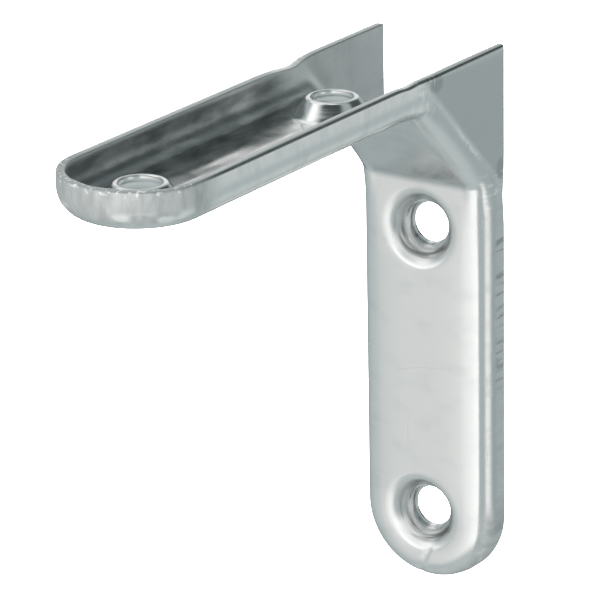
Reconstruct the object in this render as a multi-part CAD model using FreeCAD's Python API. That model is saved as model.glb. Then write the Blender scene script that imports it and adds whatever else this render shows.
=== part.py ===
"""Angle bracket pressed from one steel sheet.

Both legs are shallow trays with rounded ends, open towards the wall and towards the shelf.
A sloping web cuts across the inner corner, and the tray sides run on behind it as two flat
ears up to the outer corner.  Each leg has two screw holes whose collars are drawn into the tray.

Millimetres.  The wall plane is x = 0, the shelf plane is z = 0 and the mid-plane is y = 0, so
the origin is the outer corner.  Paths and profiles are drawn for the shelf leg, along +x, and
mirrored onto the wall leg, along -z.
"""
import FreeCAD, Part
import math
import os

from FreeCAD import Vector

# Tray
leg_length = 76.0        # outer corner to the end of either leg
width = 20.0             # across the sides
depth = 5.5              # rim to the front face
sheet = 1.2              # sheet thickness
inner_bend = 2.1         # inside radius between the tray floor and the sides
web_reach = 18.6         # outer corner to the fold where the sloping web begins
fold_bend = 1.2          # front radius of that fold

# Rim, which is the cut edge of the sheet
ear_corner = 1.0         # corner radius of the ears
rim_land = 0.6           # flat left between the two broken edges of the rim
dip_past_fold = 2.4      # fold to the bottom of the dip in each side
dip_depth = 0.5          # depth of the dip
dip_ear_run = 3.2        # length of the dip's flank towards the ear
dip_leg_run = 8.5        # length of the dip's flank towards the leg's end
dip_ear_bend = 6.0       # radius where the ear's rim turns down into the dip
dip_floor_bend = 3.0     # radius at the bottom of the dip
dip_leg_bend = 60.0      # radius where the leg's rim turns down into the dip

# Screw holes
hole_radius = 2.75       # clear bore
flare = 2.35             # how much wider the mouth is than the bore
collar_clear = 2.0       # rim plane to the end of the collar
bore_length = 0.65       # straight part of the bore inside the collar
collar_wall = 0.8        # thickness of the drawn collar
mouth_bend = 2.0         # radius between the front face and the flare
mouth_land = 0.26        # flat left between the fold and the nearest mouth

# Sheet sizes that follow
fold_tangent = math.tan(math.radians(45 / 2))
half_width = width / 2
floor_depth = depth - sheet
side_bend = inner_bend + sheet
rim_break = (sheet - rim_land) / 2
end_centre = leg_length - half_width
back_reach = web_reach - sheet * fold_tangent
dip_reach = web_reach + dip_past_fold
clear_of_part = depth

# Hole sizes that follow
throat_depth = collar_clear + bore_length
flare_rise = depth - throat_depth
flare_turn = math.atan2(flare_rise, flare)
mouth_radius = hole_radius + flare
mouth_edge = mouth_radius + mouth_bend * math.tan(flare_turn / 2)
fold_edge = web_reach + fold_bend * fold_tangent
hole_places = [fold_edge + mouth_land + mouth_edge, end_centre]

touch = 1e-4


def collar_radius(level):
    """Outside radius of the drawn collar at a depth below the rim plane."""
    across = collar_wall / math.sin(flare_turn)
    return hole_radius + across + (level - throat_depth) / math.tan(flare_turn)


def corner_arc(before, corner, after, radius):
    """Start, middle and end of the tangent arc that rounds one corner of a path."""
    back = (before - corner).normalize()
    ahead = (after - corner).normalize()
    half_angle = back.getAngle(ahead) / 2
    trim = radius / math.tan(half_angle)
    inwards = (back + ahead).normalize()
    centre = corner + inwards * (radius / math.sin(half_angle))
    return corner + back * trim, centre - inwards * radius, corner + ahead * trim


def rounded_path(corners):
    """Open wire through (x, z, radius) corners, with a tangent arc at each one that has a radius."""
    points = [Vector(x, 0, z) for x, z, _ in corners]
    edges = []
    leaves = points[0]
    for before, corner, after, (_, _, radius) in zip(points, points[1:], points[2:], corners[1:]):
        start, middle, end = corner_arc(before, corner, after, radius)
        if leaves.distanceToPoint(start) > touch:
            edges.append(Part.LineSegment(leaves, start).toShape())
        if radius > 0:
            edges.append(Part.Arc(start, middle, end).toShape())
        leaves = end
    edges.append(Part.LineSegment(leaves, points[-1]).toShape())
    return Part.Wire(edges)


def face_between(one, other):
    """Face between two open paths, closed by a straight line at each end."""
    edges = one.Edges + other.Edges
    for end in (0, -1):
        places = [path.OrderedVertexes[end].Point for path in (one, other)]
        edges.append(Part.LineSegment(*places).toShape())
    return Part.Face(Part.Wire(Part.__sortEdges__(edges)))


def both_legs(corners):
    """Shelf-leg corners out to the leg's end, with their mirror images on the wall leg before them."""
    return [(-z, -x, radius) for x, z, radius in reversed(corners)] + corners


def on_wall_leg(shape):
    """Mirror image of a shelf-leg shape on the wall leg."""
    return shape.mirror(Vector(0, 0, 0), Vector(1, 0, 1))


def edges_on(solid, path):
    """Edges of a solid that follow a mid-plane path, at any distance from the mid-plane."""
    found = []
    for edge in solid.Edges:
        flat = [Vector(point.x, 0, point.z) for point in edge.discretize(Number=5)]
        follows = all(Part.Vertex(point).distToShape(path)[0] < touch for point in flat)
        if follows and flat[0].distanceToPoint(flat[2]) > touch:
            found.append(edge)
    return found


def face_path(level, reach, end, bend):
    """Path of one face of the sheet: along the legs at a depth, and across the sloping web."""
    return rounded_path(both_legs([(reach, -level, bend), (end, -level, 0)]))


def rim_path():
    """Path of the rim: straight along the ears and the legs, with a dip past each fold."""
    leg = [
        (dip_reach - dip_ear_run, 0, dip_ear_bend),
        (dip_reach, -dip_depth, dip_floor_bend),
        (dip_reach + dip_leg_run, 0, dip_leg_bend),
        (leg_length, 0, 0),
    ]
    corners = both_legs(leg)
    corners.insert(len(leg), (0, 0, ear_corner))
    return rounded_path(corners)


def end_trim(half):
    """What is cut off a square leg end to leave it round."""
    reach = half + clear_of_part
    low = Vector(end_centre, -reach, -2 * depth)
    block = Part.makeBox(reach, 2 * reach, 4 * depth, low)
    return block.cut(Part.makeCylinder(half, 4 * depth, Vector(end_centre, 0, -2 * depth)))


def tray_block(face, half, front, bend):
    """A face of the mid-plane as a solid, with round leg ends and a bend along its front."""
    face.translate(Vector(0, -half, 0))
    block = face.extrude(Vector(0, 2 * half, 0))
    trim = end_trim(half)
    block = block.cut(trim).cut(on_wall_leg(trim))
    return block.makeFillet(bend, edges_on(block, front))


def tray():
    """The bent sheet with the edges of its rim broken, before the holes are drawn."""
    rim = rim_path()
    front = face_path(depth, web_reach, leg_length, fold_bend)
    outside = tray_block(face_between(front, rim), half_width, front, side_bend)

    inner_end = leg_length - sheet
    floor = face_path(floor_depth, back_reach, inner_end, fold_bend + sheet)
    outer_corner = Vector(-clear_of_part, 0, clear_of_part)
    wall_end = Vector(-clear_of_part, 0, -inner_end)
    shelf_end = Vector(inner_end, 0, clear_of_part)
    beyond = Part.makePolygon([wall_end, outer_corner, shelf_end])
    inside = tray_block(face_between(floor, beyond), half_width - sheet, floor, inner_bend)

    bent = outside.cut(inside)
    return bent.makeChamfer(rim_break, edges_on(bent, rim))


def turned(face, place):
    """Solid of revolution about the axis of a shelf-leg hole."""
    solid = face.revolve(Vector(0, 0, 0), Vector(0, 0, 1), 360)
    solid.translate(Vector(place, 0, 0))
    return solid


def collar(place):
    """Metal that stands up from the tray floor around one hole, still without its bore."""
    seat = (depth + floor_depth) / 2
    flank = Part.makePolygon([Vector(collar_radius(level), 0, -level) for level in (seat, collar_clear)])
    axis = Part.makePolygon([Vector(0, 0, -level) for level in (seat, collar_clear)])
    return turned(face_between(flank, axis), place)


def bore(place):
    """What is open in one hole: the flared mouth in the front face, and the bore."""
    outline = rounded_path([
        (mouth_edge, -depth, 0),
        (mouth_radius, -depth, mouth_bend),
        (hole_radius, -throat_depth, 0),
        (hole_radius, clear_of_part, 0),
    ])
    below = -depth - clear_of_part
    rest = [Vector(mouth_edge, 0, below), Vector(0, 0, below), Vector(0, 0, clear_of_part)]
    return turned(face_between(outline, Part.makePolygon(rest)), place)


def angle_bracket():
    """The finished bracket as one solid."""
    collars = [collar(place) for place in hole_places]
    bores = [bore(place) for place in hole_places]
    solid = tray().fuse(collars + [on_wall_leg(shape) for shape in collars])
    solid = solid.cut(bores + [on_wall_leg(shape) for shape in bores])
    return solid.removeSplitter().Solids[0]


os.makedirs("parts", exist_ok=True)
bracket = angle_bracket()
bracket.exportStep("parts/angle_bracket.step")
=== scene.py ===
"""Looks of the zinc-plated angle bracket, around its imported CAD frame.

The bracket is modelled as it is pressed: one quarter of the sheet's front skin is drawn up from
a strip, mirrored to both sides and both legs, thickened to the sheet and softened at its cut rim.
"""
import logging
import math
from dataclasses import dataclass, field
from enum import Enum
from functools import reduce
from typing import Callable, Iterable, Union

import bmesh
import bpy
from mathutils import Matrix, Vector, noise


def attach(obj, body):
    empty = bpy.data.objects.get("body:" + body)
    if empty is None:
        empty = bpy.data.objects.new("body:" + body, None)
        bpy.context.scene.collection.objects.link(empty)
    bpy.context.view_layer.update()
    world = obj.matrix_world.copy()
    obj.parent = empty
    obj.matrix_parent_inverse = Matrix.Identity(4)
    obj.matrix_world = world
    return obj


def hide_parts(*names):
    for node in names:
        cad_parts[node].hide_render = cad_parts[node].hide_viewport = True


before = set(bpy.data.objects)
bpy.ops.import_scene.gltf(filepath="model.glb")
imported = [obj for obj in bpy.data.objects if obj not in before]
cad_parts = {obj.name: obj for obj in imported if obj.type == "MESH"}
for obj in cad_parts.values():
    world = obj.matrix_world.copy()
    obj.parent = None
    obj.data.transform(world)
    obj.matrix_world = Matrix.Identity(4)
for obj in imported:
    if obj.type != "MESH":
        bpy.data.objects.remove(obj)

LOG = logging.getLogger("angle_bracket")
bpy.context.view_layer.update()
MM = 1000.0  # millimetres in a metre
TOUCH = 1e-3  # millimetres between places that count as one
BELL = 4.0  # how steeply a bell curve falls over its reach
HOLE_PLACES = (25.4, 66.0)  # middles of a leg's two holes, from the corner
RISE, FALL = (0.0, 1.0), (1.0, 0.0)  # what a step leads from and to

Span = tuple[float, float]
Triple = tuple[float, float, float]
Window = tuple[float, float, float, float]
Test = Callable[[Vector], bool]
Socket = bpy.types.NodeSocket
Value = Union[Socket, float, Triple]


class Pick(Enum):
    """What a selection on the bench is made of."""

    POINTS = "VERT"
    EDGES = "EDGE"


def close(one: float, other: float) -> bool:
    """Whether two lengths in millimetres are the same."""
    return abs(one - other) < TOUCH


def fade(distance: float, reach: float) -> float:
    """Bell curve that falls from one to nearly nothing over a reach."""
    return math.exp(-BELL * (distance / reach) ** 2)


def rise(value: float, start: float, end: float) -> float:
    """Smooth step from nought at the start to one at the end."""
    share = min(1.0, max(0.0, (value - start) / (end - start)))
    return share * share * (3 - 2 * share)


def between(value: float, window: Window) -> float:
    """One inside a soft window, and nought outside."""
    return rise(value, *window[:2]) * (1 - rise(value, *window[2:]))


def near_spot(value: float, spot: Span) -> float:
    """Bell curve about a spot's middle, over its reach."""
    return fade(value - spot[0], spot[1])


class Bench:
    """One mesh in edit mode, in millimetres, with the hand moves used on it."""

    def __init__(self, name: str) -> None:
        """Name the object that was just added and open it for editing."""
        self.piece: bpy.types.Object = bpy.context.object
        self.piece.name = name
        self.piece.data.name = name
        bpy.ops.object.mode_set(mode="EDIT")

    def mesh(self) -> bmesh.types.BMesh:
        """The mesh as it stands in edit mode."""
        return bmesh.from_edit_mesh(self.piece.data)

    def choose(self, wanted: Callable[[list[Vector]], bool], pick: Pick) -> None:
        """Select the points or edges that a test wants.

        Args:
            wanted: Says whether a part with such corners belongs to the selection.
            pick: Whether points or edges are selected.
        """
        bpy.ops.mesh.select_mode(type=pick.value)
        bpy.ops.mesh.select_all(action="DESELECT")
        mesh = self.mesh()
        for part in mesh.verts if pick is Pick.POINTS else mesh.edges:
            if wanted([part.co] if pick is Pick.POINTS else [corner.co for corner in part.verts]):
                part.select_set(True)
        mesh.select_flush_mode()
        bmesh.update_edit_mesh(self.piece.data)

    def select(self, test: Test, pick: Pick = Pick.EDGES) -> None:
        """Select what lies wholly where a test holds."""
        self.choose(lambda corners: all(map(test, corners)), pick)

    def select_rungs(self, one: Test, other: Test) -> None:
        """Select the edges that lead from where one test holds to where the other does."""
        self.choose(lambda ends: any(one(start) and other(end) for start, end in (ends, ends[::-1])), Pick.EDGES)

    def extrude(self, move: Triple, times: int = 1) -> None:
        """Extrude the selection along a move, in equal steps."""
        for _ in range(times):
            bpy.ops.mesh.extrude_region_move(TRANSFORM_OT_translate={"value": Vector(move) / times})

    def resize(self, factors: Triple, centre: Triple) -> None:
        """Scale the selection about a centre."""
        bpy.ops.transform.resize(value=factors, center_override=centre)

    def shift(self, how: Callable[[Vector, Vector], Vector]) -> None:
        """Move each selected point.

        Args:
            how: Gives the move for a point's place and normal.
        """
        mesh = self.mesh()
        mesh.normal_update()
        moves = [(point, how(point.co, point.normal)) for point in mesh.verts if point.select]
        for point, move in moves:
            point.co += move
        bmesh.update_edit_mesh(self.piece.data)

    def merge(self) -> None:
        """Join the points that lie on each other."""
        bpy.ops.mesh.select_all(action="SELECT")
        bpy.ops.mesh.remove_doubles(threshold=TOUCH)

    def lay_down(self) -> bpy.types.Object:
        """Leave edit mode and give the piece back."""
        bpy.ops.object.mode_set(mode="OBJECT")
        return self.piece


@dataclass(frozen=True)
class SheetSizes:
    """Sizes of the pressed sheet in millimetres, as in the CAD source."""

    leg_length: float = 76.0
    half_width: float = 10.0
    depth: float = 5.5
    sheet: float = 1.2
    side_bend: float = 3.3
    web_reach: float = 18.6
    fold_bend: float = 1.2
    rim_round: float = 0.45
    lip_round: float = 0.20
    hole_radius: float = 2.75
    flare: float = 2.35
    mouth_bend: float = 2.0
    mouth_land: float = 0.26
    throat_depth: float = 2.65
    collar_clear: float = 2.0

    @property
    def flat(self) -> float:
        """Half width of the flat front face."""
        return self.half_width - self.side_bend

    @property
    def fold_turn(self) -> float:
        """Angle of the fold between a leg and the web."""
        return math.radians(45)

    @property
    def fold_x(self) -> float:
        """Where the flat of the leg ends at the fold."""
        return self.web_reach + self.fold_bend * math.tan(self.fold_turn / 2)

    @property
    def end_x(self) -> float:
        """Centre of the rounded end."""
        return self.leg_length - self.half_width

    @property
    def flare_turn(self) -> float:
        """Angle through which the front face turns into the flare."""
        return math.atan2(self.depth - self.throat_depth, self.flare)

    @property
    def mouth(self) -> float:
        """Radius at which the front face begins to turn into a hole."""
        return self.hole_radius + self.flare + self.mouth_bend * math.tan(self.flare_turn / 2)

    @property
    def hole_x(self) -> float:
        """Centre of the hole next to the fold."""
        return self.fold_x + self.mouth_land + self.mouth

    def outwards(self, along: float, across: float) -> float:
        """How far a place lies from the mid-plane, or from the centre of the rounded end where it is past that."""
        return math.hypot(max(0.0, along - self.end_x), across)


@dataclass(frozen=True)
class HoleSteps:
    """Rings of a drawn hole from the mouth inwards, in front and on the tray's side.

    Each ring is a radius and a depth below the rim.
    """

    mouth_turn: float = math.radians(48)
    front: tuple[Span, ...] = (
        (4.20, 4.42), (3.85, 4.00), (3.52, 3.62), (3.34, 3.42), (3.24, 3.18), (3.04, 3.02), (2.90, 2.78), (2.76, 2.45),
        (2.67, 2.0))
    back: tuple[Span, ...] = (
        (5.62, 4.30), (5.46, 4.29), (5.30, 4.27), (5.13, 4.23), (4.98, 4.17), (4.80, 4.00), (4.62, 3.78), (4.43, 3.53),
        (4.25, 3.27), (4.06, 3.02), (3.88, 2.76), (3.69, 2.51), (3.51, 2.25), (3.32, 2.0))


@dataclass(frozen=True)
class SkinGrid:
    """How many cells the skin has along each of its parts."""

    across: int = 8
    strip: int = 32
    pad_rings: int = 3
    mouth: int = 5
    fold: int = 3
    web: int = 10
    bend: int = 6
    flange: int = 4


@dataclass(frozen=True)
class LegPlace:
    """A place on the bracket, told along the leg that it belongs to."""

    along: float
    across: float
    below: float
    on_wall: bool


def leg_place(point: Vector) -> LegPlace:
    """Tell a place along its leg.

    Args:
        point: A point of the sheet.

    Returns:
        How far it lies from the corner, across the sheet and below the rim, and on which leg.
    """
    if point.x > -point.z:
        return LegPlace(point.x, point.y, -point.z, False)
    return LegPlace(-point.z, point.y, point.x, True)


def off_rim(amount: float, on_wall: bool) -> Vector:
    """Move away from the rim's plane by an amount."""
    return Vector((amount, 0, 0)) if on_wall else Vector((0, 0, -amount))


def noise_at(place: LegPlace, grain: Triple, start: float = 0.0) -> float:
    """Noise at a place, which changes as fast as the grain says along the leg, across it and below the rim."""
    return noise.noise(Vector((place.along * grain[0], place.across * grain[1], place.below * grain[2] + start)))


@dataclass(frozen=True)
class Dip:
    """A dip in the rim: its depth, its place along the leg, and its reach to the corner's and the end's side."""

    depth: float
    place: float
    reach: float
    end_reach: float

    def drop(self, along: float) -> float:
        """How far the rim lies lower at a place along the leg."""
        past = along - self.place
        return self.depth * fade(past, self.reach if past < 0 else self.end_reach)


@dataclass(frozen=True)
class PressMarks:
    """What the press left on the sheet: leaning sides, dips in the rim, wrinkles, ripples and a crease.

    A grain is how fast a noise changes, and a spot is the middle of a mark and its reach.
    """

    sizes: SheetSizes = SheetSizes()
    off_web: Span = (2.4, 4.2)

    near_lean: float = 0.50
    far_lean: float = 0.30
    lean_run: Window = (16.5, 22.0, 66.0, 70.5)
    lean_curve: float = 1.3
    near_dip: Dip = Dip(0.19, 22.0, 2.6, 2.6)
    far_dip: Dip = Dip(0.47, 21.0, 3.6, 7.5)
    wall_dip: Dip = Dip(0.34, 20.5, 5.0, 5.0)
    shoulder: Dip = Dip(0.16, 71.5, 5.0, 5.0)
    flange_height: float = 2.2
    end_tilt: float = 0.50
    end_tilt_run: Span = (69.0, 74.5)

    crown: float = 0.20
    crown_run: Window = (20.0, 34.0, 58.0, 70.0)
    crown_edge: float = 2.2
    crown_power: int = 4
    corner_fill: float = 0.30
    corner_bend: Window = (6.7, 7.9, 9.0, 9.9)
    corner_spot: Span = (18.6, 5.0)
    corner_line: float = 21.0
    crease: float = 0.18
    crease_start: float = 71.3
    crease_length: float = 3.8
    crease_across: Span = (1.25, -1.95)
    crease_run: Window = (-0.18, 0.05, 1.0, 1.25)
    crease_far: float = 1.2
    crease_near: float = 0.30

    collar_foot: float = 5.9
    collar_level: float = 4.45
    funnel_radius: float = 3.0
    funnel_slope: float = 0.75
    inward_share: float = 0.2
    fillet_margin: float = 0.7
    upward_share: float = 0.05
    floor_tilt: float = 0.006
    floor_clear: Span = (5.7, 8.0)
    floor_level: Span = (2.0, 4.2)
    wobble: float = 0.06
    wobble_grain: Triple = (0.07, 0.5, 0.3)
    wobble_from: float = 5.0
    wobble_clear: Span = (5.6, 7.0)
    punch_short: float = 0.75
    punch_radius: float = 4.9
    punch_way: Span = (0.94, -0.342)
    punch_slope: float = 1.6
    punch_level: Span = (2.6, 3.3)

    side_margin: float = 0.9
    side_edge: Span = (9.1, 9.5)
    mottle: float = 0.035
    mottle_spot: Span = (27.0, 20.0)
    mottle_least: float = 0.25
    mottle_mix: Span = (0.6, 0.4)
    swell_grain: float = 0.5
    ripple_grain: float = 1.1
    ripple_from: Triple = (7.0, 0.0, 0.0)
    wrinkle: float = 0.09
    wrinkle_spot: Span = (19.0, 3.6)
    wrinkle_height: Span = (1.2, 2.6)
    wrinkle_wave: Triple = (3.9, 1.4, 2.0)
    ladder: float = 0.06
    ladder_run: Window = (26.0, 31.0, 50.0, 58.0)
    ladder_height: Span = (1.6, 2.4)
    ladder_slant: float = 0.35
    ladder_grain: Span = (0.8, 0.15)
    ladder_from: float = 3.0
    ladder_cut: Span = (0.0, 0.45)
    tip_ripple: float = 0.05
    tip_run: Span = (64.0, 70.0)
    tip_grain: Triple = (0.9, 0.55, 0.12)

    def rim(self, point: Vector, _normal: Vector) -> Vector:
        """Lean the sides inwards past the ears, and let the rim dip past each fold and at the shoulders.

        Args:
            point: A point of the front skin.
            _normal: Its normal, which plays no part.

        Returns:
            How far that point moves.
        """
        size, place = self.sizes, leg_place(point)
        if size.outwards(place.along, place.across) < size.flat:
            return Vector((0, 0, 0))
        near = place.across > 0
        dip = self.wall_dip if place.on_wall else self.near_dip if near else self.far_dip
        drop = dip.drop(place.along) + self.shoulder.drop(place.along)
        share = max(0.0, 1 - place.below / self.flange_height)
        lean = (self.near_lean if near else self.far_lean) * between(place.along, self.lean_run)
        lean *= 0.0 if place.on_wall else max(0.0, 1 - place.below / size.depth) ** self.lean_curve
        return off_rim(drop * share, place.on_wall) - Vector((0, math.copysign(lean, place.across), 0))

    def surface(self, point: Vector, normal: Vector) -> Vector:
        """Put the marks of the press on the finished sheet, and keep it inside the space of the bracket.

        Args:
            point: A point of the finished sheet.
            normal: Its normal.

        Returns:
            How far that point moves.
        """
        size, place = self.sizes, leg_place(point)
        moved = point + normal * self.mark_height(point, normal, place)
        drop = self.crown_height(place)
        drop += self.floor_drop(place) if self.faces_tray(place, normal) else self.shallow_side(place)
        moved += off_rim(drop, place.on_wall)
        limits = ((0.0, size.leg_length), (-size.half_width, size.half_width), (-size.leg_length, 0.0))
        return Vector([min(max(value, low), high) for value, (low, high) in zip(moved, limits)]) - point

    def mark_height(self, point: Vector, normal: Vector, place: LegPlace) -> float:
        """How far the marks make a point stand out.

        Args:
            point: A point of the finished sheet.
            normal: Its normal.
            place: The same point told along its leg.

        Returns:
            The distance along the normal.
        """
        out = self.sizes.outwards(place.along, place.across)
        if self.faces_tray(place, normal):
            ripple = noise_at(place, self.wobble_grain, self.wobble_from)
            clear = rise(self.by_hole(place)[1], *self.wobble_clear)
            return self.wobble * clear * ripple if out < self.sizes.half_width - self.side_margin else 0.0
        height = self.crease_height(place)
        bend = between(abs(place.across), self.corner_bend)
        if bend > 0 and place.along + place.below > self.corner_line:
            height += self.corner_fill * bend * near_spot(place.along, self.corner_spot)
        side = rise(out, *self.side_edge) * (1 - rise(place.below, *self.off_web))
        return height + self.side_marks(point, place) * side if side > 0 else height

    def by_hole(self, place: LegPlace) -> Span:
        """How far a place lies past the middle of the nearest hole, and how far from its axis."""
        ahead = min((place.along - middle for middle in HOLE_PLACES), key=abs)
        return ahead, math.hypot(ahead, place.across)

    def shallow_side(self, place: LegPlace) -> float:
        """How far the punch was short on the outer far side of a hole, which leaves the metal nearer to the front.

        Args:
            place: A place on the front skin.

        Returns:
            The distance away from the rim.
        """
        ahead, radius = self.by_hole(place)
        if radius > self.punch_radius:
            return 0.0
        along, across = self.punch_way
        turned = max(0.0, (along * ahead + across * place.across) / radius)
        slope = rise(self.punch_radius - radius, 0.0, self.punch_slope)
        return self.punch_short * turned ** 2 * slope * rise(place.below, *self.punch_level)

    def floor_drop(self, place: LegPlace) -> float:
        """How far the tray's floor lies deeper on its far side, clear of the collars and of the bends."""
        clear = rise(self.by_hole(place)[1], *self.floor_clear) * rise(place.below, *self.floor_level)
        return -self.floor_tilt * place.across * clear

    def faces_tray(self, place: LegPlace, normal: Vector) -> bool:
        """Whether a point belongs to the tray's side of the sheet.

        Args:
            place: A point of the finished sheet, told along its leg.
            normal: Its normal.

        Returns:
            True on the tray's side.
        """
        radius = self.by_hole(place)[1]
        if radius < self.collar_foot and place.below < self.collar_level:
            return radius > self.funnel_radius + self.funnel_slope * (place.below - self.sizes.collar_clear)
        aside = abs(place.across)
        turned_in = normal.y * place.across < -self.inward_share * aside
        upwards = -normal.x if place.on_wall else normal.z
        return (turned_in and aside > self.sizes.flat - self.fillet_margin) or upwards > self.upward_share

    def crown_height(self, place: LegPlace) -> float:
        """Crown of the sheet between the holes, which ends in the side bends and in the collars.

        Args:
            place: A place on the finished sheet.

        Returns:
            The distance away from the rim.
        """
        flat = self.sizes.flat
        out = self.sizes.outwards(place.along, place.across)
        sheet = (1 - rise(out, flat, flat + self.crown_edge)) * rise(place.below, *self.off_web)
        bow = 1 - (place.across / flat) ** self.crown_power
        return self.crown * between(place.along, self.crown_run) * sheet * bow

    def crease_height(self, place: LegPlace) -> float:
        """Crease from the lower hole of the wall leg to its end, steep on its near side.

        Args:
            place: A place on the front of the sheet.

        Returns:
            The distance along the normal.
        """
        if not place.on_wall:
            return 0.0
        run = (place.along - self.crease_start) / self.crease_length
        start, slope = self.crease_across
        off = place.across - (start + slope * run)
        reach = self.crease_far if off < 0 else self.crease_near
        return -self.crease * between(run, self.crease_run) * fade(off, reach)

    def side_marks(self, point: Vector, place: LegPlace) -> float:
        """Mottle, wrinkles, ladder marks and ripples of the sides.

        Args:
            point: A point of the finished sheet.
            place: The same point told along its leg.

        Returns:
            How far they stand out there.
        """
        swell = noise.noise(point * self.swell_grain)
        ripple = noise.noise(point * self.ripple_grain + Vector(self.ripple_from))
        mixed = self.mottle_mix[0] * swell + self.mottle_mix[1] * ripple
        amount = self.mottle * (self.mottle_least + near_spot(place.along, self.mottle_spot)) * mixed
        window = near_spot(place.along, self.wrinkle_spot) * near_spot(place.below, self.wrinkle_height)
        along, below, bent = self.wrinkle_wave
        stroke = math.cos(along * (place.along - self.wrinkle_spot[0]) + below * place.below + bent * swell)
        amount += self.wrinkle * window * stroke
        if place.on_wall:
            rungs = between(place.along, self.ladder_run) * near_spot(place.below, self.ladder_height)
            slant = place.along + self.ladder_slant * place.below
            along, below = self.ladder_grain
            cut = noise.noise(Vector((slant * along, place.below * below, self.ladder_from)))
            amount -= self.ladder * rungs * rise(cut, *self.ladder_cut)
        return amount + self.tip_ripple * rise(place.along, *self.tip_run) * noise_at(place, self.tip_grain)


@dataclass
class Bracket:
    """The pressed sheet: two tray legs, sloping web, ears and four drawn screw holes."""

    sizes: SheetSizes = field(default_factory=SheetSizes)
    grid: SkinGrid = field(default_factory=SkinGrid)
    hole: HoleSteps = field(default_factory=HoleSteps)
    marks: PressMarks = field(default_factory=PressMarks)
    name: str = "bracket_sheet"
    sharp_edge: float = math.radians(50)
    edge_weight: float = 0.45
    sharp_margin: float = 0.6
    sharp_past_end: float = 1.8
    lip_reach: float = 1.2

    def build(self) -> bpy.types.Object:
        """Model the bracket.

        Returns:
            The finished piece in metres, at the origin.
        """
        bench = self.strip()
        self.hole_pads(bench)
        self.flared_holes(bench)
        bench.select(lambda p: close(p.x, self.sizes.fold_x))
        self.fold_over(bench)
        self.side_bends(bench)
        self.flanges(bench)
        self.other_quarters(bench)
        bench.shift(self.marks.rim)
        piece = bench.lay_down()
        self.thicken(piece)
        bench = Bench(self.name)
        bpy.ops.mesh.select_all(action="SELECT")
        bench.shift(self.marks.surface)
        bench.lay_down()
        piece.scale = (1 / MM, 1 / MM, 1 / MM)
        bpy.ops.object.transform_apply(location=False, rotation=False, scale=True)
        bpy.ops.object.shade_smooth()
        return piece

    def strip(self) -> Bench:
        """The flat strip between the two holes of the shelf leg.

        Returns:
            The bench with that strip on it.
        """
        size = self.sizes
        start, end = size.hole_x + size.flat, size.end_x - size.flat
        bpy.ops.object.select_all(action="DESELECT")
        bpy.ops.mesh.primitive_grid_add(x_subdivisions=self.grid.strip, y_subdivisions=self.grid.across, size=1)
        bench = Bench(self.name)
        bench.resize((end - start, size.flat, 1), (0, 0, 0))
        bpy.ops.transform.translate(value=((end + start) / 2, size.flat / 2, -size.depth))
        return bench

    def hole_pads(self, bench: Bench) -> None:
        """The flat around both holes, from the strip's ends to a ring at each mouth.

        Args:
            bench: The bench with the strip on it.
        """
        size, cells = self.sizes, self.grid.across
        start, end = size.hole_x + size.flat, size.end_x - size.flat
        bench.select(lambda p: close(p.x, start) and close(p.y, size.flat), Pick.POINTS)
        bench.extrude((size.fold_x - start, 0, 0), 2 * cells)
        bench.extrude((0, -size.flat, 0), cells)
        bench.select(lambda p: close(p.x, end) and close(p.y, size.flat), Pick.POINTS)
        bench.extrude((size.end_x - end, 0, 0), cells)
        for centre in (size.hole_x, size.end_x):
            bpy.ops.mesh.select_all(action="DESELECT")
            bpy.ops.mesh.primitive_circle_add(
                vertices=8 * cells, radius=size.mouth, fill_type="NOTHING", location=(centre, 0, -size.depth))
        bench.select(lambda p: p.y < -TOUCH, Pick.POINTS)
        bpy.ops.mesh.delete(type="VERT")

        def by_fold(p: Vector) -> bool:
            """Border of the pad next to the fold."""
            top = close(p.y, size.flat) and p.x < start + TOUCH
            return top or close(p.x, start) or close(p.x, size.fold_x)

        def by_end(p: Vector) -> bool:
            """Border of the pad next to the rounded end."""
            return close(p.x, end) or (close(p.y, size.flat) and p.x > end)

        bench.select(lambda p: by_fold(p) or self.on_mouth(p, size.hole_x))
        bpy.ops.mesh.bridge_edge_loops(number_cuts=self.grid.pad_rings - 1, interpolation="LINEAR")
        bench.select(lambda p: by_end(p) or (self.on_mouth(p, size.end_x) and p.x < size.end_x + TOUCH))
        bpy.ops.mesh.bridge_edge_loops(number_cuts=self.grid.pad_rings - 1, interpolation="LINEAR")

        bench.select(lambda p: self.on_mouth(p, size.end_x) and p.x > size.end_x - TOUCH)
        radius = size.mouth
        for _ in range(self.grid.pad_rings):
            wider = radius + (size.flat - size.mouth) / self.grid.pad_rings
            bench.extrude((0, 0, 0))
            bench.resize((wider / radius, wider / radius, 1), (size.end_x, 0, -size.depth))
            radius = wider
        bench.merge()

    def on_mouth(self, point: Vector, centre: float) -> bool:
        """Whether a point lies on the ring at the mouth of a hole."""
        return close(math.hypot(point.x - centre, point.y), self.sizes.mouth)

    def hole_rings(self) -> list[Span]:
        """Rings of the front skin in a hole, from the mouth inwards.

        Returns:
            Radius and depth below the rim of each ring.
        """
        size, count = self.sizes, self.grid.mouth
        turns = [self.hole.mouth_turn * step / count for step in range(1, count + 1)]
        lifts = [size.mouth_bend * (1 - math.cos(turn)) for turn in turns]
        rings = [(size.mouth - size.mouth_bend * math.sin(turn), size.depth - lift) for turn, lift in zip(turns, lifts)]
        return rings + list(self.hole.front)

    def flared_holes(self, bench: Bench) -> None:
        """The flares and bores that are drawn from the mouths into the tray.

        Args:
            bench: The bench with the pads on it.
        """
        size = self.sizes
        outline = self.hole_rings()
        for centre in (size.hole_x, size.end_x):
            bench.select(lambda p: self.on_mouth(p, centre))
            before, level = size.mouth, -size.depth
            for radius, below in outline:
                height = -below
                bench.extrude((0, 0, height - level))
                bench.resize((radius / before, radius / before, 1), (centre, 0, height))
                before, level = radius, height

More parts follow.
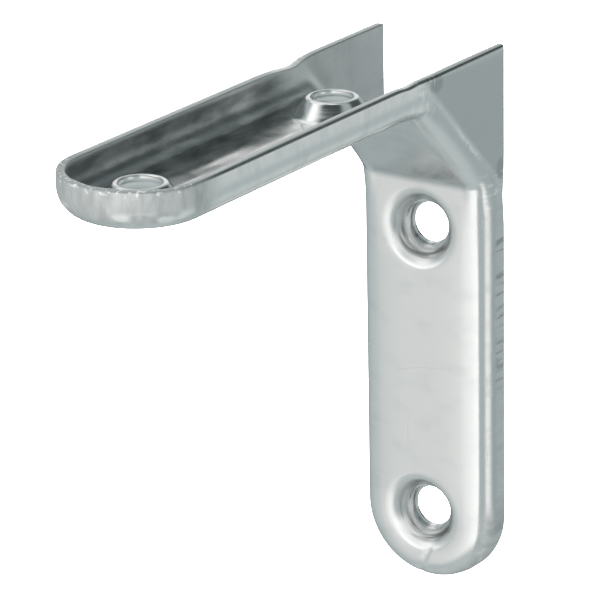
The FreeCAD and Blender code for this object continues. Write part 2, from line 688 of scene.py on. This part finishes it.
    def fold_over(self, bench: Bench) -> None:
        """Sweep the selected section round the fold and up to the middle of the sloping web.

        Args:
            bench: The bench with that section selected.
        """
        size = self.sizes
        bpy.ops.mesh.spin(
            steps=self.grid.fold, angle=size.fold_turn, axis=(0, 1, 0),
            center=(size.fold_x, 0, -size.depth - size.fold_bend))
        half_web = (size.web_reach - size.depth) / 2 - (size.fold_x - size.web_reach) * math.sqrt(0.5)
        bench.extrude((-half_web, 0, -half_web), self.grid.web)

    def side_bends(self, bench: Bench) -> None:
        """The bend from the front face to the side, swept along the leg and round its end.

        Args:
            bench: The bench with the front faces on it.
        """
        size, grid = self.sizes, self.grid
        bench.merge()
        bench.select(lambda p: close(p.x, size.end_x) and close(p.y, size.flat), Pick.POINTS)
        for step in range(grid.bend):
            start, end = (math.pi / 2 * (step + more) / grid.bend for more in (0, 1))
            outwards = size.side_bend * (math.sin(end) - math.sin(start))
            bench.extrude((0, outwards, size.side_bend * (math.cos(start) - math.cos(end))))

        def section(p: Vector) -> bool:
            """The bend's section where the straight leg meets its rounded end."""
            return close(p.x, size.end_x) and p.y > size.flat - TOUCH

        bench.select(section)
        bpy.ops.mesh.spin(
            steps=2 * grid.across, angle=math.pi / 2, axis=(0, 0, 1), center=(size.end_x, 0, 0))
        bench.select(section)
        bench.extrude((-size.flat, 0, 0), grid.across)
        bench.extrude((size.hole_x + 2 * size.flat - size.end_x, 0, 0), grid.strip)
        bench.extrude((size.fold_x - size.hole_x - size.flat, 0, 0), 2 * grid.across)
        self.fold_over(bench)
        bench.merge()

    def on_side(self, point: Vector) -> bool:
        """Whether a point lies in the plane of the sides, or on the round of the end."""
        return close(self.sizes.outwards(point.x, point.y), self.sizes.half_width)

    def flanges(self, bench: Bench) -> None:
        """The sides from their bends up to the rim, and the ears up to the outer corner.

        Args:
            bench: The bench with the side bends on it.
        """
        size = self.sizes

        def on_rim(p: Vector) -> bool:
            """The upper edge of the sides."""
            return self.on_side(p) and close(p.z, 0)

        bench.select(self.on_side)
        bench.extrude((0, 0, 0))
        bench.resize((1, 1, 0), (0, 0, 0))
        bench.select(lambda p: on_rim(p) and p.x < size.fold_x + TOUCH, Pick.POINTS)
        last = min(point.co.x for point in bench.mesh().verts if point.select)
        bench.resize((size.fold_x / (size.fold_x - last), 1, 1), (size.fold_x, 0, 0))
        bench.select_rungs(on_rim, lambda p: self.on_side(p) and p.z < -TOUCH)
        bpy.ops.mesh.subdivide_edgering(number_cuts=self.grid.flange - 1, interpolation="LINEAR")

    def other_quarters(self, bench: Bench) -> None:
        """Mirror the quarter across the mid-plane and onto the wall leg.

        Args:
            bench: The bench with one finished quarter of the skin.
        """
        for factors, turn in (((1, -1, 1), 0.0), ((-1, 1, 1), -math.pi / 2)):
            bpy.ops.mesh.select_all(action="SELECT")
            bpy.ops.mesh.duplicate()
            if turn:
                bpy.ops.transform.rotate(value=turn, orient_axis="Y", center_override=(0, 0, 0))
            bench.resize(factors, (0, 0, 0))
            bench.merge()
        bpy.ops.mesh.normals_make_consistent(inside=False)
        mesh = bench.mesh()
        mesh.normal_update()
        front = Vector((sum(HOLE_PLACES) / 2, 0, -self.sizes.depth))
        underneath = min(mesh.faces, key=lambda face: (face.calc_center_median() - front).length)
        if underneath.normal.z > 0:
            bpy.ops.mesh.flip_normals()

    def thicken(self, piece: bpy.types.Object) -> None:
        """Give the skin the thickness of the sheet, round its cut rim and smooth it.

        Args:
            piece: The skin of the whole bracket.
        """
        size = self.sizes
        skin = [point.co.copy() for point in piece.data.vertices]
        solid = piece.modifiers.new("sheet", "SOLIDIFY")
        solid.thickness = size.sheet
        solid.offset = -1
        solid.use_even_offset = True
        solid.use_quality_normals = True
        bpy.ops.object.modifier_apply(modifier=solid.name)
        self.tray_side(skin)
        bevel = piece.modifiers.new("rim", "BEVEL")
        bevel.limit_method = "WEIGHT"
        bevel.width = size.rim_round
        bevel.segments = 2
        bevel.use_clamp_overlap = False
        smooth = piece.modifiers.new("smooth", "SUBSURF")
        smooth.levels = 1
        smooth.render_levels = 1
        for modifier in (bevel, smooth):
            bpy.ops.object.modifier_apply(modifier=modifier.name)

    def tray_side(self, skin: list[Vector]) -> None:
        """Shape the tray's side of the sheet: the collars, and the rim of the rounded ends.

        Args:
            skin: Points of the front skin, in the order that the thickened sheet still has them in.
        """
        bench = Bench(self.name)
        mesh = bench.mesh()
        mesh.verts.ensure_lookup_table()
        side = mesh.verts.layers.float.new("tray_side")
        for number, place in enumerate(skin):
            point = mesh.verts[len(skin) + number]
            point[side] = 1.0
            point.co = self.collar_place(place, point.co)
            leg = leg_place(place)
            if leg.below < TOUCH and leg.along > self.sizes.end_x:
                tilt = self.marks.end_tilt * rise(leg.along, *self.marks.end_tilt_run)
                point.co += off_rim(tilt, leg.on_wall)
        self.mark_edges(mesh)
        bmesh.update_edit_mesh(bench.piece.data)
        bench.lay_down()

    def mark_edges(self, mesh: bmesh.types.BMesh) -> None:
        """Mark the cut edges that are rounded: the near side's rim most, the other edges and the collars' lips less.

        Args:
            mesh: The thickened sheet.
        """
        size = self.sizes
        weights = mesh.edges.layers.float.new("bevel_weight_edge")
        for edge in mesh.edges:
            if edge.calc_face_angle(0.0) > self.sharp_edge:
                middle = (edge.verts[0].co + edge.verts[1].co) / 2
                in_collar = self.from_axis(middle)[0] < size.hole_radius + self.lip_reach
                past_end = leg_place(middle).along > size.end_x + self.sharp_past_end
                sharp = past_end or middle.y < size.half_width - self.sharp_margin
                edge[weights] = size.lip_round / size.rim_round if in_collar else self.edge_weight if sharp else 1.0

    def collar_place(self, skin: Vector, back: Vector) -> Vector:
        """Place of a point on the tray's side of a hole.

        Args:
            skin: The point of the front skin that it lies behind.
            back: Where it is on a sheet of even thickness.

        Returns:
            Where it belongs on the collar, or where it is if it lies behind no ring of a hole.
        """
        radius, way, place = self.from_axis(skin)
        for (ring, below), (outside, level) in zip(self.hole_rings(), self.hole.back):
            if close(radius, ring) and close(place.below, below):
                axis = skin - way * radius
                return axis + off_rim(level - place.below, place.on_wall) + way * outside
        return back

    def from_axis(self, point: Vector) -> tuple[float, Vector, LegPlace]:
        """Tell a place by the nearest hole.

        Args:
            point: A point of the sheet.

        Returns:
            The distance from the hole's axis, the way out from it, and the place along the leg.
        """
        place = leg_place(point)
        centre = min((self.sizes.hole_x, self.sizes.end_x), key=lambda x: abs(place.along - x))
        along = place.along - centre
        way = Vector((0, place.across, -along)) if place.on_wall else Vector((along, place.across, 0))
        return way.length, way.normalized(), place


class Nodes:
    """Short hand for laying out a node tree."""

    def __init__(self, tree: bpy.types.NodeTree) -> None:
        """Start from an empty tree."""
        self.tree = tree
        tree.nodes.clear()

    def add(self, kind: str, **settings: object) -> bpy.types.Node:
        """Add a node.

        Args:
            kind: Node type, without its common prefix.
            settings: Properties of the node.

        Returns:
            The new node.
        """
        node = self.tree.nodes.new("ShaderNode" + kind)
        for name, value in settings.items():
            setattr(node, name, value)
        return node

    def link(self, source: Socket, target: Socket) -> None:
        """Join an output to an input."""
        self.tree.links.new(source, target)

    def fill(self, slots: Iterable[Socket], values: Iterable[Value]) -> None:
        """Link or set a row of inputs.

        Args:
            slots: The inputs.
            values: The socket or value for each of them.
        """
        for slot, value in zip(slots, values):
            if isinstance(value, Socket):
                self.link(value, slot)
            else:
                slot.default_value = value

    def maths(self, operation: str, one: Value, other: Value = 0.0, clamp: bool = False) -> Socket:
        """Arithmetic on two values.

        Args:
            operation: Name of the operation.
            one: First socket or number.
            other: Second socket or number.
            clamp: Whether the result is kept between nought and one.

        Returns:
            The socket with the result.
        """
        node = self.add("Math", operation=operation, use_clamp=clamp)
        self.fill(node.inputs, (one, other))
        return node.outputs[0]

    def times(self, *values: Value) -> Socket:
        """Product of some values."""
        return reduce(lambda one, other: self.maths("MULTIPLY", one, other), values)

    def plus(self, *values: Value) -> Socket:
        """Sum of some values."""
        return reduce(lambda one, other: self.maths("ADD", one, other), values)

    def minus(self, one: Value, other: Value) -> Socket:
        """Difference of two values."""
        return self.maths("SUBTRACT", one, other)

    def most(self, *values: Value) -> Socket:
        """Largest of some values."""
        return reduce(lambda one, other: self.maths("MAXIMUM", one, other), values)

    def size_of(self, value: Socket) -> Socket:
        """A value without its sign."""
        return self.maths("ABSOLUTE", value)

    def squares(self, one: Socket, other: Socket) -> Socket:
        """Sum of the squares of two values."""
        return self.plus(self.times(one, one), self.times(other, other))

    def vector(self, *values: Value) -> Socket:
        """Vector from up to three parts."""
        node = self.add("CombineXYZ")
        self.fill(node.inputs, values)
        return node.outputs[0]

    def dot(self, one: Socket, other: Vector) -> Socket:
        """Share of a vector along a fixed direction."""
        node = self.add("VectorMath", operation="DOT_PRODUCT")
        self.fill(node.inputs, (one, other))
        return node.outputs["Value"]

    def stretch(self, vector: Socket, factors: Triple) -> Socket:
        """Multiply a vector part by part."""
        node = self.add("VectorMath", operation="MULTIPLY")
        self.fill(node.inputs, (vector, factors))
        return node.outputs["Vector"]

    def noise(self, vector: Socket, detail: float = 1.0) -> Socket:
        """Cloudy noise.

        Args:
            vector: Where it is read.
            detail: How many finer layers it has.

        Returns:
            The socket with a value around one half.
        """
        node = self.add("TexNoise")
        self.fill((node.inputs[name] for name in ("Vector", "Scale", "Detail")), (vector, 1.0, detail))
        return node.outputs[0]

    def blend(self, share: Socket, one: Union[Socket, Triple], other: Union[Socket, Triple]) -> Socket:
        """Mix two colours by a share.

        Args:
            share: Share of the second colour.
            one: First colour, or the socket that gives it.
            other: Second colour, or the socket that gives it.

        Returns:
            The socket with the mixed colour.
        """
        node = self.add("Mix", data_type="RGBA")
        self.link(share, node.inputs["Factor"])
        colours = [colour if isinstance(colour, Socket) else (*colour, 1) for colour in (one, other)]
        self.fill((slot for slot in node.inputs if slot.type == "RGBA"), colours)
        return next(slot for slot in node.outputs if slot.type == "RGBA")

    def ramp(self, value: Socket, span: Span, result: Span = RISE) -> Socket:
        """Smooth step of a value.

        Args:
            value: The socket to map.
            span: Where the step begins and ends.
            result: What it leads from and to.

        Returns:
            The socket with the result.
        """
        node = self.add("MapRange", interpolation_type="SMOOTHSTEP")
        names = ("Value", "From Min", "From Max", "To Min", "To Max")
        self.fill((node.inputs[name] for name in names), (value, *span, *result))
        return node.outputs[0]


class Read(Enum):
    """What the finish reads at a place on the bracket: a length in millimetres, a share or a noise."""

    X = "away from the wall"
    Z = "above the shelf's rim"
    ALONG = "along the leg from the corner"
    ACROSS = "across the leg"
    BELOW = "below the rim"
    OUT = "away from the mid-plane"
    PAST = "from the shelf leg to the wall leg"
    RIDGE = "from the middle of the bright ridge"
    WEB = "behind the line of the web"
    HOLE = "from the axis of the nearest hole"
    AHEAD = "past the middle of the nearest hole"
    STAIN = "from the stain at the corner, squared"
    HAIR = "from the long fine scratch"
    SIDE = "share of the sides and the round ends"
    WALL = "share of the wall leg"
    END = "share of the sides round an end"
    TRAY = "share of the tray's side"
    COLLARS = "share off the collars"
    DRAWN = "streaks where the die drew the sheet"
    CLOUD = "clouds"
    STREAKED = "share of the streaked places"
    SCRATCH = "share of the scratches"
    # Share of the painted highlights on scratched ridges and burrs
    WORN = "share of the bright scuffs"


@dataclass(frozen=True)
class Grain:
    """A noise: how fast it changes with each of three readings, and how many finer layers it has."""

    paces: Triple
    detail: float = 1.0
    reads: tuple[Read, Read, Read] = (Read.ALONG, Read.ACROSS, Read.BELOW)


IN_SPACE = (Read.X, Read.ACROSS, Read.Z)
Source = Union[Read, Grain]
Factor = Union[Source, float, tuple[Source, Span], tuple[Source, Span, Span]]
Mask = tuple[Factor, ...]
Masks = tuple[Mask, ...]


@dataclass(frozen=True)
class ZincPlating:
    """Bright zinc plating on pressed steel: satin, streaked where the die drew it, and a little scratched.

    A mask is a product of readings, noises, numbers and steps.  A step says what it reads, where it begins and ends,
    and what it leads from and to where that isn't nought and one.
    """

    name: str = "zinc_plating"
    tone: Triple = (0.70, 0.715, 0.71)
    # Darker matt tone for clouds and streaks, also used as painted shade on the ends, ears, web, rim and wall leg's
    # flanks
    shade: Triple = (0.49, 0.51, 0.51)
    # Dark tone for the rungs and the stain, also used as painted shade in the inner bends and the tray
    grime: Triple = (0.33, 0.35, 0.35)
    pit: Triple = (0.16, 0.17, 0.17)
    # Near-white tone that paints highlights on scratched ridges and burrs
    scuff: Triple = (0.93, 0.94, 0.93)
    relief_unit: float = 0.001

    # Places on the bracket
    web_line: float = 24.1
    ridge_middle: float = 2.0
    side_edge: Span = (8.4, 9.7)
    stain_place: Span = (16.5, 1.3)
    stain_pace: Span = (0.55, 0.75)
    hair_place: float = 45.0
    hair_slant: float = 0.2
    hair_bow: float = 0.018
    wall: Mask = ((Read.PAST, (-0.2, 0.2)),)
    end: Mask = ((Read.ALONG, (62.0, 68.0)), Read.SIDE)
    off_collars: Mask = ((Read.HOLE, (5.0, 5.9)),)

    # Streaks, clouds and scratches
    drawn: Mask = (Grain((1.0, 1.0, 0.30), 4.0),)
    cloud: Mask = (Grain((0.35, 0.20, 0.20), 4.0),)
    streaked: Masks = ((Read.SIDE, (Read.WALL, RISE, (0.35, 1.0))), (Read.SIDE, Read.END))
    scratch_ways: tuple[Span, ...] = ((14.0, 3.0), (-35.0, 11.0), (80.0, 23.0))
    scratch_tilt: Span = (0.3, 0.2)
    scratch_grain: Triple = (0.14, 4.5, 2.0)
    scratch_line: Span = (0.74, 0.82)
    hairline: Mask = (
        (Read.HAIR, (0.03, 0.11), FALL), (Read.ACROSS, (-5.0, -3.4)), (Read.ACROSS, (4.7, 5.4), FALL), Read.WALL,
        (Read.BELOW, (5.2, 5.4)))

    # Painted highlights on bright scratched ridges and burrs beside the web's bends, at the wrinkles of the sides and
    # round the tips
    scuffs: Masks = (
        ((Read.WEB, (3.1, 3.8)), (Read.WEB, (3.9, 4.7), FALL), Read.SIDE, (Read.RIDGE, (2.5, 7.5), (1.0, 0.15)),
         (Grain((2.6, 1.0, 0.0), 3.0, (Read.PAST, Read.WEB, Read.BELOW)), (0.36, 0.66), (0.15, 1.0))),
        ((Read.ALONG, (16.0, 18.0)), (Read.ALONG, (20.0, 23.0), FALL), Read.SIDE,
         (Grain((1.5, 0.3, 0.35), 2.0), (0.5, 0.68), (0.0, 0.7))),
        ((Read.ALONG, (66.5, 69.0)), Read.SIDE, (Read.BELOW, (0.3, 1.1), FALL),
         (Grain((1.5, 1.5, 1.5), 2.0, IN_SPACE), (0.56, 0.66))),
        # Painted highlights at the lower bends of the tips
        ((Read.ALONG, (66.5, 69.0)), Read.SIDE, (Read.BELOW, (2.4, 3.4)),
         (Grain((0.35, 0.35, 0.6), 1.0, IN_SPACE), (0.5, 0.68), (0.0, 0.8))),
    )

    # Dark rungs on the sides and the stain at the corner, with painted shade in the inner bends and in dark clouds over
    # the far half of the tray
    smudges: Masks = (
        ((Read.ALONG, (20.0, 27.0)), (Read.ALONG, (40.0, 52.0), (1.0, 0.15)), (Read.BELOW, (0.2, 0.9)),
         (Read.BELOW, (2.0, 2.8), FALL), Read.SIDE, (Read.WALL, RISE, (0.07, 1.0)),
         (Grain((0.85, 0.0, 0.136), 3.0), (0.50, 0.62), (0.0, 0.9))),
        ((Read.STAIN, (0.2, 1.0), (0.7, 0.0)), (Read.ACROSS, (8.0, 9.0))),
        # Painted shade in the crook of the side bends next to the fold
        ((Read.BELOW, (3.4, 4.8), (0.0, 0.37)), (Read.OUT, (6.9, 7.6)), (Read.WEB, (-1.6, -0.4), FALL),
         (Read.ALONG, (19.0, 34.0), (1.0, 0.1)), (Read.WALL, RISE, FALL)),
        # Painted shade: mottled dark clouds over the far half of the tray
        (Read.TRAY, Read.COLLARS, (Read.ACROSS, (-2.8, -0.6), FALL), (Read.WEB, (-3.0, 0.0), FALL),
         (Read.BELOW, (0.3, 1.0)), (Read.WALL, RISE, (1.0, 0.3)),
         (Grain((0.16, 0.45, 0.45), 3.0), (0.38, 0.62), (0.2, 0.9))),
    )

    # Dark rings that the punch left in the holes, most on the side away from the corner
    rings: Mask = (
        (Grain((1.9, 0.2, 0.2), 2.0, (Read.HOLE, Read.ACROSS, Read.ALONG)), (0.38, 0.58), (0.35, 1.0)),
        (Read.BELOW, (2.5, 2.9)), (Read.TRAY, RISE, FALL))
    ring_places: Masks = (
        ((Read.HOLE, (3.3, 3.7)), (Read.HOLE, (4.0, 4.8), FALL), (Read.AHEAD, (-1.6, 2.0), (0.35, 0.95))),
        ((Read.HOLE, (2.85, 3.15), (0.8, 0.0)),),
    )

    # Matt clouds, streaks and scratches, painted shade round the ends, and the most painted shade on the ears, the web,
    # the rim and the wall leg's flanks
    dull: Masks = (
        ((Read.CLOUD, (0.45, 0.8), (0.0, 0.23)),),
        (Read.STREAKED, (Read.DRAWN, (0.5, 0.75), (0.0, 0.13))),
        (Read.SCRATCH, 0.2),
        # Painted shade round the ends, streaked
        (Read.END, (Read.DRAWN, (0.35, 0.65), (0.2, 0.55))),
    )
    # Painted shade: the ears, the web, the cut rim and the wall leg's flanks darkened
    dull_parts: Masks = (
        ((Read.WEB, (3.8, 5.4)), (Read.OUT, (8.0, 8.6)), (Read.ACROSS, (-9.0, 9.0), (0.75, 0.97))),
        ((Read.WEB, (-0.9, -0.2)), (Read.OUT, (6.8, 7.8), (0.55, 0.0))),
        ((Read.BELOW, (0.05, 0.30), (0.95, 0.0)),),
        ((Read.OUT, (9.75, 9.98), (0.0, 0.48)), Read.WALL),
    )

    # Roughness with what the die adds in the tray, on the web, round the ends and at the mouths, and fine relief
    roughness: Masks = (
        ((Read.CLOUD, (0.3, 0.7), (0.11, 0.19)),),
        (Read.SIDE, (Read.DRAWN, (0.3, 0.7), (0.048, 0.112))),
        (Read.SCRATCH, 0.12),
        (Read.TRAY, Read.COLLARS, (Read.OUT, (6.0, 7.4), (-0.02, 0.24))),
        ((Read.WEB, (-0.9, -0.2)), (Read.SIDE, RISE, (0.05, 0.0))),
        (Read.END, 0.36),
        ((Read.COLLARS, RISE, (0.19, 0.0)), (Read.TRAY, RISE, FALL), (Read.BELOW, (3.2, 3.8))),
    )
    relief: Masks = (
        (Grain((4.0, 4.0, 4.0), 3.0, IN_SPACE), (Read.TRAY, RISE, (0.007, 0.003))),
        (Read.CLOUD, (Read.TRAY, RISE, (0.012, 0.003))),
        (Read.STREAKED, Read.DRAWN, 0.006),
        (Read.WORN, 0.02),
        (Read.SCRATCH, -0.006),
    )

    def material(self) -> bpy.types.Material:
        """Make the finish.

        Returns:
            The material.
        """
        made = bpy.data.materials.new(self.name)
        made.use_nodes = True
        nodes = Nodes(made.node_tree)
        layers = PlatingLayers(self, nodes)
        shader = nodes.add("BsdfPrincipled")
        shader.inputs["Metallic"].default_value = 1.0
        nodes.link(layers.colour(), shader.inputs["Base Color"])
        nodes.link(layers.total(self.roughness), shader.inputs["Roughness"])
        bump = nodes.add("Bump")
        bump.inputs["Distance"].default_value = self.relief_unit
        nodes.link(layers.total(self.relief), bump.inputs["Height"])
        nodes.link(bump.outputs[0], shader.inputs["Normal"])
        end = nodes.add("OutputMaterial")
        nodes.link(shader.outputs[0], end.inputs["Surface"])
        return made


class PlatingLayers:
    """The layers of the plating in one node tree, and the readings that they are made from."""

    def __init__(self, look: ZincPlating, nodes: Nodes) -> None:
        """Lay out the readings.

        Args:
            look: What the plating looks like.
            nodes: The finish's node tree.
        """
        self.look, self.nodes = look, nodes
        parts = nodes.add("SeparateXYZ")
        place = nodes.add("TexCoord").outputs["Object"]
        nodes.link(nodes.stretch(place, (MM, MM, MM)), parts.inputs[0])
        x, across, z = parts.outputs
        down = nodes.times(z, -1.0)
        along, below = nodes.most(x, down), nodes.maths("MINIMUM", x, down)
        past = nodes.minus(down, x)
        first, last = HOLE_PLACES
        in_last = nodes.maths("GREATER_THAN", along, (first + last) / 2)
        ahead = nodes.minus(nodes.minus(along, first), nodes.times(in_last, last - first))
        over = nodes.most(nodes.minus(along, last), 0.0)
        stain = [
            nodes.times(nodes.minus(value, middle), pace)
            for value, middle, pace in zip((along, below), look.stain_place, look.stain_pace)]
        bow = nodes.times(across, across, look.hair_bow)
        hair = nodes.plus(along, nodes.minus(nodes.times(across, look.hair_slant), bow))
        self.at: dict[Read, Socket] = {
            Read.X: x, Read.Z: z, Read.ALONG: along, Read.ACROSS: across, Read.BELOW: below, Read.PAST: past,
            Read.OUT: nodes.size_of(across),
            Read.RIDGE: nodes.size_of(nodes.minus(past, look.ridge_middle)),
            Read.WEB: nodes.minus(look.web_line, nodes.plus(along, below)),
            Read.HOLE: nodes.maths("SQRT", nodes.squares(ahead, across)),
            Read.AHEAD: ahead,
            Read.STAIN: nodes.squares(*stain),
            Read.HAIR: nodes.size_of(nodes.minus(hair, look.hair_place)),
            Read.SIDE: nodes.ramp(nodes.maths("SQRT", nodes.squares(over, across)), look.side_edge),
            Read.TRAY: nodes.add("Attribute", attribute_name="tray_side").outputs["Fac"],
        }
        self.at[Read.WALL] = self.mask(look.wall)
        self.at[Read.END] = self.mask(look.end)
        self.at[Read.COLLARS] = self.mask(look.off_collars)
        self.at[Read.DRAWN] = self.mask(look.drawn)
        self.at[Read.CLOUD] = self.mask(look.cloud)
        self.at[Read.STREAKED] = self.either(look.streaked)
        self.at[Read.SCRATCH] = nodes.most(self.scratches(), self.mask(look.hairline))
        self.at[Read.WORN] = self.either(look.scuffs)

    def value(self, factor: Factor) -> Value:
        """Lay out one factor of a mask.

        Args:
            factor: A reading, a noise, a number or a step.

        Returns:
            Its socket or number.
        """
        if isinstance(factor, Read):
            return self.at[factor]
        if isinstance(factor, Grain):
            paced = [self.nodes.times(self.at[read], pace) for read, pace in zip(factor.reads, factor.paces)]
            return self.nodes.noise(self.nodes.vector(*paced), factor.detail)
        if isinstance(factor, tuple):
            source, *step = factor
            return self.nodes.ramp(self.value(source), *step)
        return factor

    def mask(self, factors: Mask) -> Socket:
        """Product of a mask's factors."""
        return self.nodes.times(*map(self.value, factors))

    def either(self, masks: Masks) -> Socket:
        """Largest of some masks."""
        return self.nodes.most(*map(self.mask, masks))

    def total(self, masks: Masks) -> Socket:
        """Sum of some masks."""
        return self.nodes.plus(*map(self.mask, masks))

    def colour(self) -> Socket:
        """Colour of the plating: matt in places, with grime, punch rings, painted shade and painted highlights.

        Returns:
            The socket with the colour.
        """
        nodes, look = self.nodes, self.look
        # Matt tone, and painted shade on the ends, ears, web, rim and flanks
        dull = nodes.maths("ADD", self.total(look.dull), self.either(look.dull_parts), clamp=True)
        rings = nodes.times(self.mask(look.rings), self.either(look.ring_places))
        colour = nodes.blend(dull, look.tone, look.shade)
        # Dark rungs and stain, and painted shade in the inner bends and the tray
        colour = nodes.blend(self.either(look.smudges), colour, look.grime)
        colour = nodes.blend(rings, colour, look.pit)
        # Painted highlights on scratched ridges and burrs, in near white
        return nodes.blend(self.at[Read.WORN], colour, look.scuff)

    def scratches(self) -> Socket:
        """Fine scratches in a few directions.

        Returns:
            The socket that is one on a scratch.
        """
        nodes, look = self.nodes, self.look
        leg = nodes.vector(*(self.at[read] for read in (Read.ALONG, Read.ACROSS, Read.BELOW)))
        lines = []
        for turn, offset in look.scratch_ways:
            mapping = nodes.add("Mapping")
            turned = (*look.scratch_tilt, math.radians(turn))
            nodes.fill(mapping.inputs, (leg, (offset, offset, 0), turned, look.scratch_grain))
            lines.append(nodes.ramp(nodes.noise(mapping.outputs[0]), look.scratch_line))
        return nodes.most(*lines)


@dataclass(frozen=True)
class SoftCard:
    """A soft-edged panel of light or shade in the tent around the bracket, in degrees."""

    azimuth: float
    elevation: float
    half_width: float
    half_height: float
    level: float
    edge: float = 8.0
    far_edge: float = 8.0
    top_edge: float = 8.0

    def light(self, nodes: Nodes, way: Socket, height: Socket) -> Socket:
        """What the panel adds to the tent.

        Args:
            nodes: The tent's node tree.
            way: Direction from the bracket.
            height: Elevation of that direction in radians.

        Returns:
            The socket with the panel's light.
        """
        turn = math.radians(self.azimuth)
        ahead, aside = Vector((math.cos(turn), math.sin(turn), 0)), Vector((-math.sin(turn), math.cos(turn), 0))
        angle = nodes.maths("ARCTAN2", nodes.dot(way, aside), nodes.dot(way, ahead))
        sides = (
            (angle, -self.half_width, self.edge, RISE),
            (angle, self.half_width, self.far_edge, FALL),
            (height, self.elevation - self.half_height, self.top_edge, RISE),
            (height, self.elevation + self.half_height, self.top_edge, FALL),
        )
        total: Value = self.level
        for value, middle, soft, result in sides:
            span = (math.radians(middle - soft), math.radians(middle + soft))
            total = nodes.times(nodes.ramp(value, span, result), total)
        return total


@dataclass
class Studio:
    """Light tent, pale floor and the camera at the photo's angle."""

    tent_level: float = 0.52
    least_light: float = 0.02
    tent_tint: Triple = (0.885, 1.0, 1.015)
    lamp_tint: Triple = (1.0, 1.0, 0.99)
    tint_span: Span = (0.5, 1.0)
    cards: tuple[SoftCard, ...] = (
        # Azimuth, elevation, half width, half height and level, then how soft the edges are
        SoftCard(-22, -16, 61, 34, 0.24, 40, 5, 12),
        SoftCard(11, -16, 28, 34, 0.57, 45, 5, 12),
        SoftCard(24, -18, 15, 25, 0.06, 14, 5, 12),
        SoftCard(-12, 24, 50, 17, 0.80, 10, 6, 7),
        SoftCard(-88, 53, 55, 17, 0.65, 14, 14, 7),
        SoftCard(60, -18, 20, 28, 0.08, 4, 6, 10),
        SoftCard(90, -18, 14, 28, 0.62, 4, 10, 10),
        SoftCard(150, 30, 28, 22, -0.42),
        SoftCard(-145, 17, 22, 11, 0.48, top_edge=6),
        SoftCard(158, -34, 16, 7, 0.22, 8, 8, 4),
        SoftCard(147, -20, 16, 7, 0.10, 8, 8, 4),
        SoftCard(142, -6, 25, 6, 0.30, 10, 10, 4),
        SoftCard(32, 60, 50, 17, -0.44, 10, 15, 7),
        SoftCard(0, 90, 190, 11, 0.70, top_edge=5),
        SoftCard(-150, -24, 31, 14, -0.26, 10, 12),
        SoftCard(0, -80, 190, 26, 0.17, top_edge=12),
    )
    floor_level: float = -0.10
    floor_size: float = 12.0
    floor_tone: float = 0.93
    lamp_height: float = 2.0
    lamp_size: float = 3.0
    lamp_energy: float = 260.0
    view_turn: float = 34.77
    view_rise: float = 19.8
    view_roll: float = -1.1
    aim: Triple = (0.020, 0.0, -0.030)
    focal: float = 4010.57
    pixels_per_metre: float = 7730.0
    off_middle: Span = (-58.76, -7.2)
    picture: float = 600.0
    sensor: float = 36.0
    nearest: float = 0.01

    def tent(self) -> None:
        """Light the world with soft cards."""
        world = bpy.data.worlds.new("light_tent")
        bpy.context.scene.world = world
        world.use_nodes = True
        nodes = Nodes(world.node_tree)
        way = nodes.add("TexCoord").outputs["Generated"]
        height = nodes.maths("ARCSINE", nodes.dot(way, Vector((0, 0, 1))))
        total: Value = self.tent_level
        for card in self.cards:
            total = nodes.plus(card.light(nodes, way, height), total)
        light = nodes.add("Background")
        nodes.link(nodes.most(total, self.least_light), light.inputs["Strength"])
        tint = nodes.blend(nodes.ramp(total, self.tint_span), self.tent_tint, self.lamp_tint)
        nodes.link(tint, light.inputs["Color"])
        end = nodes.add("OutputWorld")
        nodes.link(light.outputs[0], end.inputs["Surface"])

    def floor(self) -> None:
        """Lay a plain pale floor with a lamp over it."""
        bpy.ops.object.select_all(action="DESELECT")
        bpy.ops.mesh.primitive_plane_add(size=self.floor_size, location=(0, 0, self.floor_level))
        floor = bpy.context.object
        floor.name = "pale_floor"
        floor.visible_glossy = False
        paint = bpy.data.materials.new("pale_floor")
        paint.use_nodes = True
        nodes = Nodes(paint.node_tree)
        shader = nodes.add("BsdfDiffuse")
        shader.inputs["Color"].default_value = (self.floor_tone, self.floor_tone, self.floor_tone, 1)
        end = nodes.add("OutputMaterial")
        nodes.link(shader.outputs[0], end.inputs["Surface"])
        floor.data.materials.append(paint)
        bpy.ops.object.light_add(type="AREA", location=(0, 0, self.lamp_height))
        lamp = bpy.context.object
        lamp.name = "overhead_softbox"
        lamp.data.size = self.lamp_size
        lamp.data.energy = self.lamp_energy
        lamp.visible_glossy = False
        lamp.visible_camera = False

    def camera(self) -> None:
        """Stand the camera where the photo was taken from."""
        turn, lift, roll = (math.radians(angle) for angle in (self.view_turn, self.view_rise, self.view_roll))
        back = Vector((math.cos(turn) * math.cos(lift), math.sin(turn) * math.cos(lift), math.sin(lift)))
        level = Vector((0, 0, 1)).cross(back).normalized()
        over = back.cross(level)
        right = math.cos(roll) * level + math.sin(roll) * over
        up = -math.sin(roll) * level + math.cos(roll) * over
        aside, above = (offset / self.pixels_per_metre for offset in self.off_middle)
        data = bpy.data.cameras.new("photo_camera")
        data.sensor_width = self.sensor
        data.lens = self.focal / self.picture * self.sensor
        data.clip_start = self.nearest
        camera = bpy.data.objects.new("photo_camera", data)
        bpy.context.scene.collection.objects.link(camera)
        camera.matrix_world = Matrix((right, up, back)).transposed().to_4x4()
        camera.location = Vector(self.aim) + back * (self.focal / self.pixels_per_metre) + right * aside + up * above
        bpy.context.scene.camera = camera


def main() -> None:
    """Build the bracket and its studio, and report each piece."""
    bracket = Bracket()
    piece = bracket.build()
    piece.data.materials.append(ZincPlating().material())
    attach(piece, "root")
    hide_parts("angle_bracket")
    LOG.info("%s: %d faces", piece.name, len(piece.data.polygons))
    studio = Studio()
    studio.tent()
    studio.floor()
    studio.camera()
    bpy.context.scene.view_settings.view_transform = "Standard"


if __name__ == "__main__":
    logging.basicConfig(level=logging.INFO, format="%(name)s: %(message)s")
    main()
